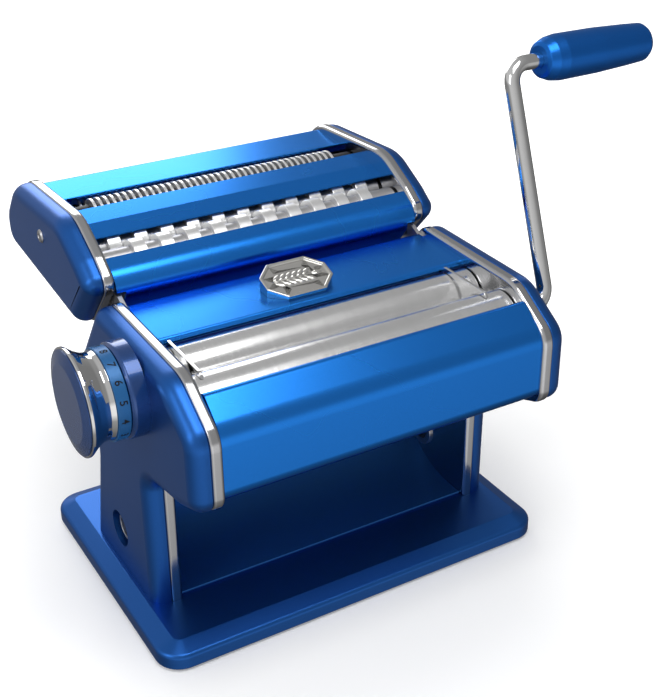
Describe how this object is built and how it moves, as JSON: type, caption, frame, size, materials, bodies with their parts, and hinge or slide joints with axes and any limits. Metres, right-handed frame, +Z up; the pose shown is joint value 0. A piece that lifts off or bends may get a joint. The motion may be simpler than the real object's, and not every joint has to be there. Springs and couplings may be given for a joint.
{
  "type": "pasta roller machine",
  "caption": "Manual pasta roller machine: smooth rollers with thickness knob, pull-out hand crank and lift-off cutter unit on a weighted base",
  "frame": {"origin": "centre of the base, on the plane that the four feet stand on", "axes": "+X to the crank side, -X to the knob side, -Y to the user, +Z up"},
  "size_m": [0.298, 0.2139, 0.2343],
  "materials": {
    "blue_sheet": "satin metallic blue lacquer",
    "blue_cover": "satin metallic blue lacquer, moulded cover",
    "blue_knob": "gloss dark blue",
    "number_band": "satin blue with black digits",
    "chrome": "polished",
    "roller": "fine turned, anodised",
    "steel": "plain",
    "gear": "moulded",
    "bush": "moulded bearing plastic",
    "rubber": "matte",
    "badge": "cast and polished relief"
  },
  "bodies": {
    "machine": {"base_plate": "blue_cover", "base_screws": "steel", "rubber_feet": "rubber", "side_frame_left": "chrome", "side_frame_right": "chrome", "side_cover_left": "blue_cover", "side_cover_right": "blue_cover", "clamp_sockets": "chrome", "front_hood": "blue_sheet", "rear_top_sheet": "blue_sheet", "pasta_chute": "blue_sheet", "badge_plaque": "badge", "dough_guards": "chrome", "roller_scrapers": "steel", "tie_rods": "steel", "tie_nuts": "steel", "front_roller_bushes": "bush", "knob_bezel": "blue_knob", "cutter_brackets": "steel"},
    "drive_roller": {"front_roller": "roller", "crank_socket": "steel", "drive_gear": "gear"},
    "roller_carriage": {"carriage_block_left": "bush", "carriage_block_right": "bush", "carriage_rod": "steel"},
    "adjustable_roller": {"rear_roller": "roller", "driven_gear": "gear"},
    "knob_spindle": {"knob_shaft": "steel", "thickness_cam": "gear", "knob_spring": "steel"},
    "knob": {"knob_ring": "chrome", "knob_core": "bush", "knob_cap": "blue_knob", "number_ring": "number_band"},
    "crank": {"crank_rod": "chrome", "crank_cross_pin": "steel"},
    "grip": {"crank_grip": "blue_cover", "grip_end_plug": "blue_knob"},
    "cutter_unit": {"cutter_frame_left": "chrome", "cutter_frame_right": "chrome", "cutter_cap_left": "blue_cover", "cutter_cap_right": "blue_cover", "cutter_cap_screws": "steel", "cutter_rear_sheet": "blue_sheet", "cutter_middle_sheet": "blue_sheet", "cutter_front_sheet": "blue_sheet", "cutter_tie_rods": "steel", "cutter_tie_nuts": "steel", "cutter_bushes": "bush", "cutter_combs": "steel", "cutter_hook_pins": "steel"},
    "wide_front": {"wide_front_cutter": "roller", "wide_front_gear": "gear"},
    "wide_rear": {"wide_rear_cutter": "roller", "wide_rear_gear": "gear"},
    "fine_front": {"fine_front_cutter": "roller", "fine_front_gear": "gear"},
    "fine_rear": {"fine_rear_cutter": "roller", "fine_rear_gear": "gear"}
  },
  "joints": [
    {"name": "drive_spin", "type": "hinge", "parent": "machine", "child": "drive_roller", "pos_m": [0, -0.0595, 0.123], "axis": [1, 0, 0], "continuous": true},
    {"name": "carriage_shift", "type": "slide", "parent": "machine", "child": "roller_carriage", "axis": [0, 1, 0], "range_m": [-0.0014, 0.0028]},
    {"name": "adjustable_spin", "type": "hinge", "parent": "roller_carriage", "child": "adjustable_roller", "pos_m": [0, -0.0325, 0.123], "axis": [1, 0, 0], "continuous": true},
    {"name": "knob_turn", "type": "hinge", "parent": "machine", "child": "knob_spindle", "pos_m": [0, -0.0325, 0.123], "axis": [1, 0, 0], "range_deg": [-72, 144]},
    {"name": "knob_pull", "type": "slide", "parent": "knob_spindle", "child": "knob", "axis": [-1, 0, 0], "range_m": [0, 0.005], "stiffness_N_per_m": 800, "springref_m": -0.002, "deforming": ["knob_spring"]},
    {"name": "crank_pull", "type": "slide", "parent": "drive_roller", "child": "crank", "axis": [1, 0, 0], "range_m": [0, 0.03]},
    {"name": "grip_spin", "type": "hinge", "parent": "crank", "child": "grip", "pos_m": [0.149, -0.02147, 0.22365], "axis": [1, 0, 0], "continuous": true},
    {"name": "cutter_lift", "type": "slide", "parent": "machine", "child": "cutter_unit", "axis": [0, 0, 1], "range_m": [0, 0.06]},
    {"name": "wide_spin", "type": "hinge", "parent": "cutter_unit", "child": "wide_rear", "pos_m": [0, 0.0484, 0.1472], "axis": [1, 0, 0], "continuous": true},
    {"name": "wide_idler_spin", "type": "hinge", "parent": "cutter_unit", "child": "wide_front", "pos_m": [0, 0.0322, 0.1472], "axis": [1, 0, 0], "continuous": true},
    {"name": "fine_spin", "type": "hinge", "parent": "cutter_unit", "child": "fine_front", "pos_m": [0, 0.072, 0.1534], "axis": [1, 0, 0], "continuous": true},
    {"name": "fine_idler_spin", "type": "hinge", "parent": "cutter_unit", "child": "fine_rear", "pos_m": [0, 0.0874, 0.1484], "axis": [1, 0, 0], "continuous": true}
  ],
  "couplings": [
    {"joint": "adjustable_spin", "follows": "drive_spin", "ratio": -1},
    {"joint": "knob_turn", "follows": "carriage_shift", "rad_per_m": 897.6},
    {"joint": "wide_idler_spin", "follows": "wide_spin", "ratio": -1},
    {"joint": "fine_idler_spin", "follows": "fine_spin", "ratio": -1}
  ]
}
